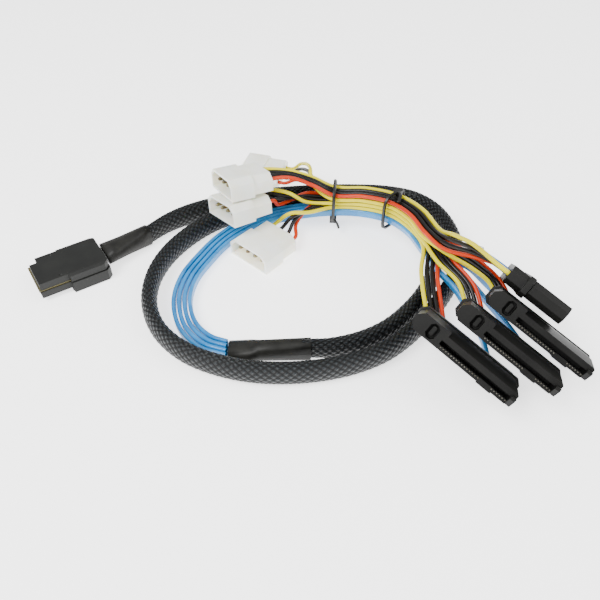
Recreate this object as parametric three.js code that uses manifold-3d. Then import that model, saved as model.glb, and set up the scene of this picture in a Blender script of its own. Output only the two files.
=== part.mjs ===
// Mini SAS breakout cable: a 36-circuit plug, a braided sleeve laid in two turns, four data cables
// and four drive sockets, each socket also fed by four wires from a 4-pin power plug of its own.
// Millimetres, +Z up. The connectors and the sleeve lie on the plane Z = 0.

import * as THREE from "three";
import { mergeVertices } from "three/addons/utils/BufferGeometryUtils.js";
import Module from "manifold-3d";

const wasm = await Module();
wasm.setup();

// The middle of the connectors' box, in the layout.
const ORIGIN = [-5.743, 20.943];
// Clearance between neighbouring pieces, and the overlap that makes two forms one solid.
const GAP = 0.3;
const FUSE = 0.2;

// Host plug: length runs back from the nose, width across, height above the table.
const PLUG = {
  at: [-127, 7, 0],
  yaw: 33,
  length: 35,
  noseLength: 15,
  noseWidth: 21.6,
  gripWidth: 24.8,
  gripRound: 2.2,
  height: 10.6,
  noseFloor: 2.3,
  splitHeight: 6.2,
  cableMouth: 15.2,
};
const CARD = { thickness: 1, width: 19.6, depth: 24, proud: 0.9, notch: 4.5 };
const LATCH = {
  width: 12.4,
  sheet: 0.5,
  height: 1.3,
  root: 4,
  hookAt: 12.5,
  hookLength: 2.4,
  hookWidth: 1.8,
  hookDrop: 0.9,
  padStart: 21,
  padEnd: 32,
  padDrop: 0.6,
  swing: 1.9,
};

// Power plug: length runs back from the mouth, width across, thickness up.
const POWER = {
  width: 25,
  thickness: 10.6,
  length: 23,
  shroudLength: 12.5,
  shroudDepth: 10.5,
  wall: 1.1,
  chamfer: 3,
  rearStep: 0.9,
  pinPitch: 5.08,
  pinBore: 0.7,
  pinRecess: 1.6,
  wirePocket: 7,
};
const PIN = { diameter: 2.1, tip: 0.8, tail: 2.4 };

// Drive socket: width runs from the power end to the signal end, thickness up from the contact
// side, and depth back from the mating face.
const SOCKET = {
  width: 48,
  thickness: 9.6,
  shellInset: 0.5,
  shellDepth: 17,
  shellChamfer: 2.4,
  slotStart: 13.4,
  slotFloor: 2.9,
  slotHeight: 1.9,
  slotDepth: 9,
  contactPitch: 1.27,
  contactWidth: 0.62,
  contactRelief: 1.1,
  powerContacts: 15,
  signalContacts: 7,
  segmentGap: 6.35,
  pocketAt: 8.6,
  pocketWidth: 4.2,
  pocketLength: 6.4,
  pocketDepth: 4,
  bossWidth: 1.7,
  keyLength: 6.6,
  keyDrop: 0.5,
  postWidth: 2.2,
  postReach: 3,
  facet: 2.2,
};
const HOOD = {
  depth: 10,
  flange: 2.6,
  inset: 0.7,
  chamfer: 2.2,
  wireSlotAt: 7.05,
  wireSlotDepth: 4,
  dataAt: 36,
  wirePitch: 2.7,
};

// Cords.
const WIRE = { diameter: 2, steps: 26, sides: 8, seat: 1.6 };
const DATA = { width: 4.4, thickness: 2.1, waist: 0.7, steps: 32, seat: 1.6 };
const SLEEVE = { width: 11.4, thickness: 5, steps: 74, sides: 10 };
const SHRINK = { width: 13.6, thickness: 6, sides: 12, wall: 1.1 };
const TIE = { strand: 0.9, reachSide: 7.5, reachUp: 9.5, rise: -0.6, square: 0.4, steps: 24, sides: 5 };
const LABEL = { length: 12, clearance: 0.45, sheet: 0.4, sides: 12 };

// Sections are drawn with this many sides round a bore.
const BORE_SIDES = 10;
const rad = THREE.MathUtils.degToRad;
const vec = (p) => new THREE.Vector3(...p);

// Colours and surface of each stuff.
function stuff(color, roughness, metalness = 0) {
  return new THREE.MeshStandardMaterial({ color, roughness, metalness });
}
const STUFF = {
  plugBlack: stuff(0x2b2d2b, 0.55),
  socketBlack: stuff(0x242623, 0.5),
  natural: stuff(0xe9e7dc, 0.45),
  tin: stuff(0xc9b98a, 0.35, 1),
  steel: stuff(0xb9bcc0, 0.35, 1),
  card: stuff(0x3c6b58, 0.5),
  braid: stuff(0x1c2021, 0.8),
  shrink: stuff(0x3d3d39, 0.6),
  tie: stuff(0x262624, 0.5),
  label: stuff(0xf2f4f4, 0.6),
  blue: stuff(0x6fb2dc, 0.45),
  yellow: stuff(0xf3da3c, 0.45),
  black: stuff(0x252321, 0.45),
  red: stuff(0xd2542f, 0.45),
};

// Solids: a merged closed geometry becomes a manifold solid, and goes back to a geometry.
function bare(geometry) {
  const copy = geometry.clone();
  for (const name of Object.keys(copy.attributes)) {
    if (name !== "position") copy.deleteAttribute(name);
  }
  return mergeVertices(copy, 1e-4);
}
function solid(geometry) {
  const merged = bare(geometry);
  const mesh = new wasm.Mesh({
    numProp: 3,
    vertProperties: merged.attributes.position.array,
    triVerts: new Uint32Array(merged.index.array),
  });
  return new wasm.Manifold(mesh);
}
function geometryOf(shape) {
  const mesh = shape.getMesh();
  const geometry = new THREE.BufferGeometry();
  geometry.setAttribute("position", new THREE.BufferAttribute(mesh.vertProperties, 3));
  geometry.setIndex(new THREE.BufferAttribute(mesh.triVerts, 1));
  geometry.computeVertexNormals();
  return geometry;
}
const join = (...shapes) => shapes.reduce((whole, shape) => whole.add(shape));
const cut = (body, ...tools) => tools.reduce((whole, tool) => whole.subtract(tool), body);

function block(x0, x1, y0, y1, z0, z1) {
  const geometry = new THREE.BoxGeometry(x1 - x0, y1 - y0, z1 - z0);
  geometry.translate((x0 + x1) / 2, (y0 + y1) / 2, (z0 + z1) / 2);
  return solid(geometry);
}
// A flat outline in X and Y, drawn up from one height to another.
function prism(points, z0, z1) {
  const outline = new THREE.Shape(points.map(([x, y]) => new THREE.Vector2(x, y)));
  const geometry = new THREE.ExtrudeGeometry(outline, { depth: z1 - z0, bevelEnabled: false });
  geometry.translate(0, 0, z0);
  return solid(geometry);
}
// An outline in Y and Z, drawn along X.
function bar(points, x0, x1) {
  const outline = new THREE.Shape(points.map(([y, z]) => new THREE.Vector2(y, z)));
  const geometry = new THREE.ExtrudeGeometry(outline, { depth: x1 - x0, bevelEnabled: false });
  geometry.applyMatrix4(new THREE.Matrix4().set(0, 0, 1, x0, 1, 0, 0, 0, 0, 1, 0, 0, 0, 0, 0, 1));
  return solid(geometry);
}
// A round rod along X.
function rod(radius, x0, x1, y, z, sides = BORE_SIDES) {
  const geometry = new THREE.CylinderGeometry(radius, radius, x1 - x0, sides);
  geometry.rotateZ(-Math.PI / 2);
  geometry.translate((x0 + x1) / 2, y, z);
  return solid(geometry);
}
function boxOutline(x0, x1, y0, y1, cutCorner) {
  const c = cutCorner;
  return [
    [x0 + c, y0], [x1 - c, y0], [x1, y0 + c], [x1, y1 - c],
    [x1 - c, y1], [x0 + c, y1], [x0, y1 - c], [x0, y0 + c],
  ];
}

const cable = new THREE.Group();
// The layout is drawn about the middle of the loop; the origin is under the connectors' middle.
cable.position.set(-ORIGIN[0], -ORIGIN[1], 0);
function add(name, geometry, material, parent = cable) {
  const mesh = new THREE.Mesh(geometry, material);
  mesh.name = name;
  parent.add(mesh);
  return mesh;
}

// A frame from an origin and its first two axes, which are squared up to each other.
function pose(at, first, second) {
  const x = vec(first).normalize();
  const y = vec(second).addScaledVector(x, -vec(second).dot(x)).normalize();
  const z = new THREE.Vector3().crossVectors(x, y);
  return new THREE.Matrix4().makeBasis(x, y, z).setPosition(...at);
}
function placed(matrix) {
  const group = new THREE.Group();
  group.applyMatrix4(matrix);
  cable.add(group);
  return group;
}

// Where each power plug lies: its mouth corner on the near side, its way back and its width.
const POWER_POSES = [
  pose([-16.7, 17.4, 0], [0.668, 0.745, 0], [-0.745, 0.668, 0]),
  pose([-31.9, 31.6, 18.2], [0.8, 0.59, -0.1], [-0.6, 0.77, -0.2]),
  pose([-35.8, 92, 0], [0.96, -0.28, 0], [0.28, 0.96, 0]),
  pose([-32.9, 38.2, 28.6], [0.87, 0.48, -0.08], [-0.55, 0.81, -0.2]),
];
// Where each drive socket lies: its power corner, its width and its thickness.
const LEAN_WIDTH = [0.751, -0.571, -0.331];
const LEAN_UP = [0.596, 0.372, 0.711];
const LEAN_BACK = [0.283, 0.732, -0.62];
const SOCKET_POSES = [
  pose([41.3, -46.3, 31.5], LEAN_WIDTH, LEAN_UP),
  pose([59.3, -41.6, 31.5], LEAN_WIDTH, LEAN_UP),
  pose([73.6, -34, 31.5], LEAN_WIDTH, LEAN_UP),
  pose([101, -44, 29], LEAN_BACK, LEAN_UP),
];

// Host plug.
function plugOutline(inset) {
  const half = PLUG.gripWidth / 2 - inset;
  const nose = PLUG.noseWidth / 2 - inset;
  const back = PLUG.length - inset;
  const r = PLUG.gripRound;
  return [
    [inset, -nose], [PLUG.noseLength, -nose], [PLUG.noseLength, -half], [back - r, -half],
    [back, -half + r], [back, half - r], [back - r, half], [PLUG.noseLength, half],
    [PLUG.noseLength, nose], [inset, nose],
  ];
}
function buildPlug() {
  const place = placed(new THREE.Matrix4().makeRotationZ(rad(PLUG.yaw)).setPosition(...PLUG.at));
  const cardBottom = PLUG.splitHeight - CARD.thickness / 2;
  const cardTop = PLUG.splitHeight + CARD.thickness / 2;
  const cardHalf = CARD.width / 2;
  const pocket = block(-1, CARD.depth + GAP, -cardHalf - GAP, cardHalf + GAP, cardBottom - GAP, cardTop + GAP);
  const mouth = PLUG.cableMouth / 2;
  const throat = block(CARD.depth, PLUG.length + 1, -mouth, mouth, PLUG.noseFloor + 1.4, PLUG.height - 1.6);
  const split = PLUG.splitHeight;
  // The upper shell has rounded grip edges, two dimples and a corner notch over the card.
  const dimples = [-1, 1].map((side) => {
    const dimple = new THREE.CylinderGeometry(0.7, 0.7, 1, 8);
    dimple.rotateX(Math.PI / 2);
    dimple.translate(PLUG.noseLength - 3.4, side * (PLUG.noseWidth / 2 - 2.6), PLUG.height);
    return solid(dimple);
  });
  const top = PLUG.height;
  const half = PLUG.gripWidth / 2;
  const crown = bar([
    [-half, 0], [half, 0], [half, top - 2.4], [half - 0.8, top - 0.8], [half - 2.4, top],
    [-half + 2.4, top], [-half + 0.8, top - 0.8], [-half, top - 2.4],
  ], 0, PLUG.length);
  const lipFront = CARD.proud;
  const upper = cut(
    prism(plugOutline(lipFront), split + GAP / 2, top).intersect(crown),
    pocket, throat, ...dimples,
    block(-1, CARD.notch, cardHalf - 3.6, half, split, top + 1),
    block(PLUG.length - 4.6, PLUG.length - 3.8, -half - 1, -half + 0.6, split, top + 1),
    block(PLUG.length - 4.6, PLUG.length - 3.8, half - 0.6, half + 1, split, top + 1),
  );
  add("plug_upper_shell", geometryOf(upper), STUFF.plugBlack, place);
  const channel = LATCH.width / 2 + GAP;
  const roof = LATCH.height + LATCH.sheet + LATCH.swing;
  const lower = cut(
    prism(plugOutline(lipFront / 2), 0, split - GAP / 2),
    pocket, throat,
    block(-1, PLUG.noseLength - 0.4, -half - 1, half + 1, -1, PLUG.noseFloor),
    block(LATCH.root + 2, PLUG.length + 1, -channel, channel, -1, roof),
  );
  add("plug_lower_shell", geometryOf(lower), STUFF.plugBlack, place);
  const board = block(0, CARD.depth, -cardHalf, cardHalf, cardBottom, cardTop);
  const edgeKey = block(-1, 4, -0.6, 0.6, cardBottom - 1, cardTop + 1);
  add("plug_paddle_card", geometryOf(cut(board, edgeKey)), STUFF.card, place);
  buildLatch(place);
  return place;
}
// The latch is one bent strip under the plug: root, leaf, two hooks and a thumb pad.
function buildLatch(place) {
  const half = LATCH.width / 2;
  const low = LATCH.height;
  const high = LATCH.height + LATCH.sheet;
  const pad = low - LATCH.padDrop;
  const side = [
    [LATCH.root, low], [LATCH.padStart, low], [LATCH.padStart + 1, pad], [LATCH.padEnd, pad],
    [LATCH.padEnd, pad + LATCH.sheet], [LATCH.padStart + 1.2, pad + LATCH.sheet],
    [LATCH.padStart + 0.2, high], [LATCH.root, high],
  ];
  const shape = new THREE.Shape(side.map(([x, z]) => new THREE.Vector2(x, z)));
  const leaf = new THREE.ExtrudeGeometry(shape, { depth: LATCH.width, bevelEnabled: false });
  leaf.rotateX(Math.PI / 2);
  leaf.translate(0, half, 0);
  const hooks = [-1, 1].map((at) => {
    const hook = new THREE.Shape([
      new THREE.Vector2(LATCH.hookAt, low + FUSE),
      new THREE.Vector2(LATCH.hookAt + LATCH.hookLength, low + FUSE),
      new THREE.Vector2(LATCH.hookAt + LATCH.hookLength, low - LATCH.hookDrop),
    ].reverse());
    const wedge = new THREE.ExtrudeGeometry(hook, { depth: LATCH.hookWidth, bevelEnabled: false });
    wedge.rotateX(Math.PI / 2);
    wedge.translate(0, at * (half - LATCH.hookWidth / 2) + LATCH.hookWidth / 2, 0);
    return solid(wedge);
  });
  const window = block(LATCH.hookAt - 6, LATCH.hookAt - 1.5, -half + 3, half - 3, low - 1, high + 1);
  add("plug_latch", geometryOf(cut(join(solid(leaf), ...hooks), window)), STUFF.steel, place);
}

// A power plug: a shroud with two cut corners round four pins, and a smaller rear block.
function powerOutline(inset) {
  const c = POWER.chamfer;
  const y0 = inset;
  const y1 = POWER.width - inset;
  const z0 = inset;
  const z1 = POWER.thickness - inset;
  return [[y0, z0], [y1, z0], [y1, z1 - c], [y1 - c, z1], [y0 + c, z1], [y0, z1 - c]];
}
const pinAt = (index) => POWER.width / 2 + (1.5 - index) * POWER.pinPitch;
function buildPowerPlug(number, matrix) {
  const place = placed(matrix);
  const mid = POWER.thickness / 2;
  const bore = PIN.diameter / 2 + GAP;
  const shroud = bar(powerOutline(0), 0, POWER.shroudLength);
  const rear = bar(powerOutline(POWER.rearStep), POWER.shroudLength - FUSE, POWER.length);
  const mouth = bar(powerOutline(POWER.wall), -1, POWER.shroudDepth);
  let body = cut(join(shroud, rear), mouth);
  const pocketStart = POWER.length - POWER.wirePocket;
  for (let index = 0; index < 4; index += 1) {
    body = cut(
      body,
      rod(bore, POWER.shroudDepth - 1, pocketStart + 1, pinAt(index), mid),
      rod(WIRE.diameter / 2 + 0.6, pocketStart, POWER.length + 1, pinAt(index), mid),
    );
  }
  add(`power_plug_${number}`, geometryOf(body), STUFF.natural, place);
  for (let index = 0; index < 4; index += 1) {
    const r = PIN.diameter / 2;
    const back = pocketStart + PIN.tail;
    const profile = [
      new THREE.Vector2(0, POWER.pinRecess), new THREE.Vector2(r * 0.55, POWER.pinRecess),
      new THREE.Vector2(r, POWER.pinRecess + PIN.tip), new THREE.Vector2(r, back),
      new THREE.Vector2(0, back),
    ];
    const pin = new THREE.LatheGeometry(profile, 6);
    pin.rotateZ(-Math.PI / 2);
    pin.translate(0, pinAt(index), mid);
    add(`power_pin_${number}_${index + 1}`, bare(pin), STUFF.tin, place);
  }
}

// A drive socket: a shell with a comb slot, a guide pocket with its boss, a key and a guide post.
function contactStarts() {
  const starts = [];
  for (let index = 0; index < SOCKET.powerContacts; index += 1) {
    starts.push(SOCKET.slotStart + (index + 0.8) * SOCKET.contactPitch);
  }
  const signalStart = starts[starts.length - 1] + SOCKET.segmentGap;
  for (let index = 0; index < SOCKET.signalContacts; index += 1) {
    starts.push(signalStart + index * SOCKET.contactPitch);
  }
  return starts;
}
function combOutline() {
  const starts = contactStarts();
  const floor = SOCKET.slotFloor;
  const relief = floor - SOCKET.contactRelief;
  const points = [];
  for (const start of starts) {
    const end = start + SOCKET.contactPitch - SOCKET.contactWidth;
    points.push([start, floor], [start, relief], [end, relief], [end, floor]);
  }
  const last = points[points.length - 1][0] + SOCKET.contactWidth;
  points.push([last, floor], [last, floor + SOCKET.slotHeight]);
  points.push([SOCKET.slotStart, floor + SOCKET.slotHeight], [SOCKET.slotStart, floor]);
  return { points, last };
}
function buildSocket(number, matrix) {
  const place = placed(matrix);
  const inset = SOCKET.shellInset;
  const w = SOCKET.width;
  const t = SOCKET.thickness;
  const depth = SOCKET.shellDepth;
  const comb = combOutline();
  const key = comb.points[4 * SOCKET.powerContacts - 1][0];
  const y0 = inset + SOCKET.keyDrop;
  const y1 = t - inset;
  const c = SOCKET.shellChamfer;
  const outline = [
    [c, y0], [key, y0], [key, y0 - SOCKET.keyDrop], [key + SOCKET.keyLength, y0 - SOCKET.keyDrop],
    [key + SOCKET.keyLength, y0], [w - SOCKET.postWidth, y0], [w - SOCKET.postWidth, 5.4],
    [w, 5.4], [w, y1 - c], [w - c, y1], [c, y1], [0, y1 - c], [0, y0 + c],
  ];
  const post = prism([
    [w - SOCKET.postWidth - FUSE, y0 + 0.4], [w - 0.3, y0 + 0.4], [w - 0.3, 5.4 + FUSE],
    [w - SOCKET.postWidth - FUSE, 5.4 + FUSE],
  ], -depth, SOCKET.postReach);
  const tipCut = bar([
    [y0 + 0.2, SOCKET.postReach + 1], [y0 + 0.2, 0.8], [5.8, SOCKET.postReach + 1],
  ], w - SOCKET.postWidth - 1, w + 1);
  const pocketX = SOCKET.pocketAt;
  const pocketY = t / 2 + 0.3;
  const pocket = prism(boxOutline(
    pocketX - SOCKET.pocketWidth / 2, pocketX + SOCKET.pocketWidth / 2,
    pocketY - SOCKET.pocketLength / 2, pocketY + SOCKET.pocketLength / 2, 1.2,
  ), -SOCKET.pocketDepth, 1);
  const boss = prism(boxOutline(
    pocketX - SOCKET.bossWidth / 2, pocketX + SOCKET.bossWidth / 2,
    pocketY - SOCKET.pocketLength / 2 + 1.1, pocketY + SOCKET.pocketLength / 2 - 1.1, 0.5,
  ), -SOCKET.pocketDepth - FUSE, -1.2);
  // The broad side steps down towards the mating face, where the drive's guide passes.
  const facet = bar([
    [y1 + 1, 1], [y1 + 1, -SOCKET.slotDepth], [y1 - SOCKET.facet, 1],
  ], 14.5, w + 1);
  const slot = prism(comb.points, -SOCKET.slotDepth, 1);
  const shell = cut(join(cut(prism(outline, -depth, 0), pocket), boss), slot, facet);
  add(`drive_socket_${number}`, geometryOf(cut(join(shell, post), tipCut)), STUFF.socketBlack, place);
  const back = -depth - GAP;
  const rear = back - HOOD.depth;
  const flange = prism(boxOutline(-0.8, w + 0.8, 0, t, HOOD.chamfer), back - HOOD.flange, back);
  const cap = prism(
    boxOutline(HOOD.inset, w - HOOD.inset, HOOD.inset, t - HOOD.inset, HOOD.chamfer),
    rear, back - HOOD.flange + FUSE,
  );
  const reach = HOOD.wirePitch * 1.5 + WIRE.diameter / 2 + 0.5;
  const rise = WIRE.diameter / 2 + 0.5;
  const wireSlot = prism(boxOutline(
    HOOD.wireSlotAt - reach, HOOD.wireSlotAt + reach, t / 2 - rise, t / 2 + rise, 0.5,
  ), rear - 1, rear + HOOD.wireSlotDepth);
  const dataBore = new THREE.CylinderGeometry(DATA.width / 2 + 0.5, DATA.width / 2 + 0.5, 5, 12);
  dataBore.rotateX(Math.PI / 2);
  dataBore.translate(HOOD.dataAt, t / 2, rear + 1.5);
  add(`socket_hood_${number}`, geometryOf(cut(join(flange, cap), wireSlot, solid(dataBore))),
    STUFF.socketBlack, place);
}
const HOOD_REAR = -SOCKET.shellDepth - GAP - HOOD.depth;

// Cords: a section drawn along a smooth line through points chosen by hand.
function alongLine(points, section, steps) {
  const line = new THREE.CatmullRomCurve3(points, false, "centripetal");
  return { line, geometry: bare(new THREE.ExtrudeGeometry(section, {
    steps, extrudePath: line, bevelEnabled: false,
  })) };
}
function ellipse(rx, ry, sides) {
  const points = [];
  for (let index = 0; index < sides; index += 1) {
    const angle = (2 * Math.PI * (index + 0.5)) / sides;
    points.push(new THREE.Vector2(rx * Math.cos(angle), ry * Math.sin(angle)));
  }
  return new THREE.Shape(points);
}
// Two round conductors side by side in one jacket. The first axis of a section stands upright.
function twinSection(grow = 0) {
  const r = DATA.thickness / 2 + grow;
  const c = DATA.width / 2 - DATA.thickness / 2;
  const k = 0.707;
  return new THREE.Shape([
    [c + r, 0], [c + r * k, r * k], [0, r * (DATA.waist)], [-c - r * k, r * k],
    [-c - r, 0], [-c - r * k, -r * k], [0, -r * (DATA.waist)], [c + r * k, -r * k],
  ].map(([x, y]) => new THREE.Vector2(x, y)));
}
const local = (matrix, x, y, z) => new THREE.Vector3(x, y, z).applyMatrix4(matrix);
const axis = (matrix, column, scale) => {
  const axes = [new THREE.Vector3(), new THREE.Vector3(), new THREE.Vector3()];
  matrix.extractBasis(...axes);
  return axes[column].multiplyScalar(scale);
};

// Stations of the wire bundle, from the power plugs past both ties to the sockets: the middle of
// the bundle, then its way across. Each plug's four wires ride in a row of their own.
const BUNDLE = [
  { at: [3, 60.5, 15.5], across: [0.05, 1, 0] },
  { at: [18, 59, 15.5], across: [0.1, 1, 0] },
  { at: [33.5, 55, 17.5], across: [0.42, 0.91, 0] },
  { at: [47, 46, 20], across: [0.7, 0.71, 0] },
  { at: [56, 32.5, 22], across: [0.88, 0.47, 0] },
  { at: [61.5, 17, 22.5], across: [0.97, 0.24, 0] },
];
const LANE_PITCH = 2.55;
const ROW_PITCH = 2.4;
const ROWS_RISE = 1.6;
const DATA_DROP = -5.3;
// Each lead: its row in the bundle, the side of the bundle its yellow wire is on, the station
// where it joins, and its points before the bundle and after it. With each point goes the step
// from one wire to the next, towards the yellow one.
const LEADS = [
  {
    row: -1.5, yellowSide: -1, join: 1,
    before: [[-3.5, 49.5, 10.3], [5, 53.6, 13.3]],
    beforeStep: [[-1, -0.3, 2.5], [-0.3, -2.4, 0.5]],
    after: [[58.5, -2, 18.5]],
    afterStep: [[-2.5, 0.2, 0.5]],
  },
  {
    row: -0.5, yellowSide: -1, join: 0,
    before: [[-13, 58, 17.8], [-5, 60, 16.8]],
    beforeStep: [[-0.9, 1.2, 2.2], [-0.3, -1.3, 2.3]],
    after: [[66, 3, 22], [74, -9, 18.5]],
    afterStep: [[-2.4, -0.8, 0.2], [-2.5, 0.2, 0.6]],
  },
  {
    row: 0.5, yellowSide: -1, join: 2,
    before: [[-1.5, 94, 9.5], [5, 81, 16.5], [9.3, 68.3, 18.5], [17.5, 59.2, 18.3]],
    beforeStep: [[1.2, 3.2, 1.5], [0.2, 1, 2.6], [-1.6, -1.8, 1.3], [-0.9, -2.35, 0.2]],
    after: [[70, 6.5, 25], [80, 2, 20.5], [88.8, -3.4, 14.8]],
    afterStep: [[-1.7, -1.9, 0], [-1.9, -1.7, 0.4], [-2.4, -1.1, 1.1]],
  },
  {
    row: 1.6, yellowSide: 1, join: 1,
    before: [[-6, 63.5, 28.4], [6, 61.5, 25.6]],
    beforeStep: [[-1, 3, -0.4], [-0.3, 2.7, 0]],
    after: [[66.5, 5, 31.5], [74, -7.5, 37]],
    afterStep: [[1.2, 0.6, 2.2], [-0.6, -0.2, 2.5]],
  },
];
const COLOURS = ["yellow", "black_a", "black_b", "red"];
function wireRoute(lead, number, rank) {
  const plug = POWER_POSES[number];
  const socket = SOCKET_POSES[number];
  const shift = 1.5 - rank;
  const mid = [POWER.width / 2, POWER.thickness / 2];
  const stepAtPlug = axis(plug, 1, POWER.pinPitch * shift);
  const stepAtSocket = axis(socket, 0, -HOOD.wirePitch * shift);
  const rise = new THREE.Vector3(0, 0, ROWS_RISE + ROW_PITCH * lead.row);
  const points = [
    local(plug, POWER.length - WIRE.seat, ...mid).add(stepAtPlug),
    local(plug, POWER.length + 4, ...mid).add(stepAtPlug),
  ];
  lead.before.forEach((at, index) => {
    points.push(vec(at).addScaledVector(vec(lead.beforeStep[index]), shift));
  });
  const lane = LANE_PITCH * lead.yellowSide * shift;
  for (const station of BUNDLE.slice(lead.join)) {
    const across = vec(station.across).normalize().multiplyScalar(lane);
    points.push(vec(station.at).add(across).add(rise));
  }
  lead.after.forEach((at, index) => {
    points.push(vec(at).addScaledVector(vec(lead.afterStep[index]), shift));
  });
  const y = SOCKET.thickness / 2;
  points.push(local(socket, HOOD.wireSlotAt, y, HOOD_REAR - 5).addScaledVector(stepAtSocket, 1.2));
  points.push(local(socket, HOOD.wireSlotAt, y, HOOD_REAR + WIRE.seat).add(stepAtSocket));
  return points;
}

// The data cables' shared way from the breakout to the bundle: middle and way across.
const DATA_WAY = [
  { at: [-31.5, -35, 4.6], across: [0, -1, 0] },
  { at: [-41, -30.5, 3.6], across: [-0.5, -0.87, 0] },
  { at: [-50, -20.5, 3], across: [-0.8, -0.6, 0] },
  { at: [-55, -5, 3], across: [-1, -0.15, 0] },
  { at: [-54, 11, 3], across: [-0.97, 0.25, 0] },
  { at: [-48, 26, 3], across: [-0.85, 0.53, 0] },
  { at: [-39.5, 41, 3], across: [-0.75, 0.66, 0] },
  { at: [-27.5, 53, 3.4], across: [-0.62, 0.78, 0] },
  { at: [-12.5, 58.5, 5.6], across: [-0.2, 0.98, 0] },
  { at: [3, 60.3, 7.6], across: [0.05, 1, 0] },
];
// The points between the bundle and each socket.
const DATA_TAILS = [
  [[64, 4, 15], [70, -7, 14], [75, -17, 9.5], [79.5, -28, 5]],
  [[68, 8, 15.2], [76, 1, 14], [84, -8, 9], [93, -22, 4.6]],
  [[70, 13, 15.5], [79, 8, 14], [88, 1, 8.5], [97, -7, 3.6], [106, -17, 2.8]],
  [[73, 16.5, 18.5], [82, 9.5, 22]],
];
function dataRoute(number) {
  const lane = number - 1.5;
  const side = (station) => vec(station.across).normalize().multiplyScalar(lane * LANE_PITCH);
  const points = DATA_WAY.map((station) => vec(station.at).add(side(station)));
  for (const station of BUNDLE.slice(1)) {
    points.push(vec(station.at).add(side(station)).add(new THREE.Vector3(0, 0, DATA_DROP)));
  }
  points.push(...DATA_TAILS[number].map(vec));
  const socket = SOCKET_POSES[number];
  const y = SOCKET.thickness / 2;
  points.push(local(socket, HOOD.dataAt, y, HOOD_REAR - 4));
  points.push(local(socket, HOOD.dataAt, y, HOOD_REAR + DATA.seat));
  return points;
}

// The sleeve: from the plug's heat shrink once round, then again inside the first turn.
const SLEEVE_MID = SLEEVE.width / 2 + GAP;
const SLEEVE_ROUTE = [
  [-78, 42], [-70, 50.5], [-60, 58], [-46, 65], [-30, 70.5], [-10, 74.5], [10, 76.5], [30, 77],
  [48, 75.5], [62, 70.5], [72, 60], [77.5, 44], [78, 26], [73.5, 9], [65, -6], [56, -18.5],
  [46.5, -29], [36, -37.5], [21, -44.5], [2, -48.5], [-18, -48.5], [-35, -44.5], [-50, -37],
  [-62, -25], [-69, -9], [-70, 8], [-66, 24], [-57.5, 39], [-46, 51.5], [-31, 61], [-12, 67],
  [8, 69], [28, 69.5], [44, 67], [56.5, 59.5], [64.5, 46], [67, 30], [64.5, 13], [57.5, -2],
  [48.5, -14.5], [38, -25], [26, -32], [13, -35.3], [5, -35.6],
];
function sleeveAndShrinks() {
  const route = SLEEVE_ROUTE.map(([x, y]) => new THREE.Vector3(x, y, SLEEVE_MID));
  const section = ellipse(SLEEVE.width / 2, SLEEVE.thickness / 2, SLEEVE.sides);
  const sleeve = alongLine(route, section, SLEEVE.steps);
  add("braided_sleeve", sleeve.geometry, STUFF.braid);
  // The plug's heat shrink goes from the flat mouth of the plug to the upright sleeve.
  const way = rad(PLUG.yaw);
  const mouth = local(new THREE.Matrix4().makeRotationZ(way).setPosition(...PLUG.at),
    PLUG.length + GAP, 0, PLUG.splitHeight);
  const start = route[0].clone();
  const lead = new THREE.Vector3(Math.cos(way), Math.sin(way), 0);
  const first = sleeve.line.getTangentAt(0);
  const ringA = ring(mouth, lead, PLUG.cableMouth - 0.8, 6.4);
  const ringB = ring(start.clone().addScaledVector(first, -GAP), first,
    SHRINK.thickness, SLEEVE.width + 0.5);
  const rings = [];
  for (let index = 0; index <= 5; index += 1) rings.push(blendRing(ringA, ringB, index / 5));
  add("plug_heat_shrink", loft(rings), STUFF.shrink);
  const end = route[route.length - 1];
  const out = DATA_WAY[0].at;
  const back = new THREE.Vector3(-1, 0, 0);
  const from = end.clone().addScaledVector(sleeve.line.getTangentAt(1), GAP);
  const to = new THREE.Vector3(out[0] + 3 * GAP, end.y, out[2]);
  const wide = { across: SHRINK.thickness, up: SLEEVE.width };
  const slim = { across: 4 * LANE_PITCH, up: DATA.width + 1 };
  const neck = from.clone().lerp(to, 0.62);
  const neckEnd = from.clone().lerp(to, 0.72);
  add("breakout_heat_shrink", loft([
    ring(from, back, wide.across + 0.6, wide.up), ring(neck, back, 8, wide.up - 2.6),
    ring(neckEnd, back, slim.across, slim.up + 1), ring(to, back, slim.across, slim.up),
  ]), STUFF.shrink);
}
function ring(centre, along, across, up) {
  const side = new THREE.Vector3(0, 0, 1).cross(along).normalize();
  const points = [];
  for (let index = 0; index < SHRINK.sides; index += 1) {
    const angle = (2 * Math.PI * index) / SHRINK.sides;
    const c = Math.sign(Math.cos(angle)) * Math.abs(Math.cos(angle)) ** 0.7;
    const s = Math.sign(Math.sin(angle)) * Math.abs(Math.sin(angle)) ** 0.7;
    points.push(centre.clone().addScaledVector(side, (c * across) / 2)
      .add(new THREE.Vector3(0, 0, (s * up) / 2)));
  }
  return points;
}
const blendRing = (a, b, share) => a.map((point, index) => point.clone().lerp(b[index], share));
// A closed skin through rings of points, with flat ends.
function loft(rings) {
  const sides = rings[0].length;
  const points = rings.flat();
  const index = [];
  for (let row = 0; row + 1 < rings.length; row += 1) {
    for (let side = 0; side < sides; side += 1) {
      const next = (side + 1) % sides;
      const a = row * sides + side;
      const b = row * sides + next;
      index.push(a, b, b + sides, a, b + sides, a + sides);
    }
  }
  const last = (rings.length - 1) * sides;
  for (let side = 1; side + 1 < sides; side += 1) {
    index.push(0, side + 1, side, last, last + side, last + side + 1);
  }
  const geometry = new THREE.BufferGeometry().setFromPoints(points);
  geometry.setIndex(index);
  geometry.computeVertexNormals();
  return geometry;
}

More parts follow.
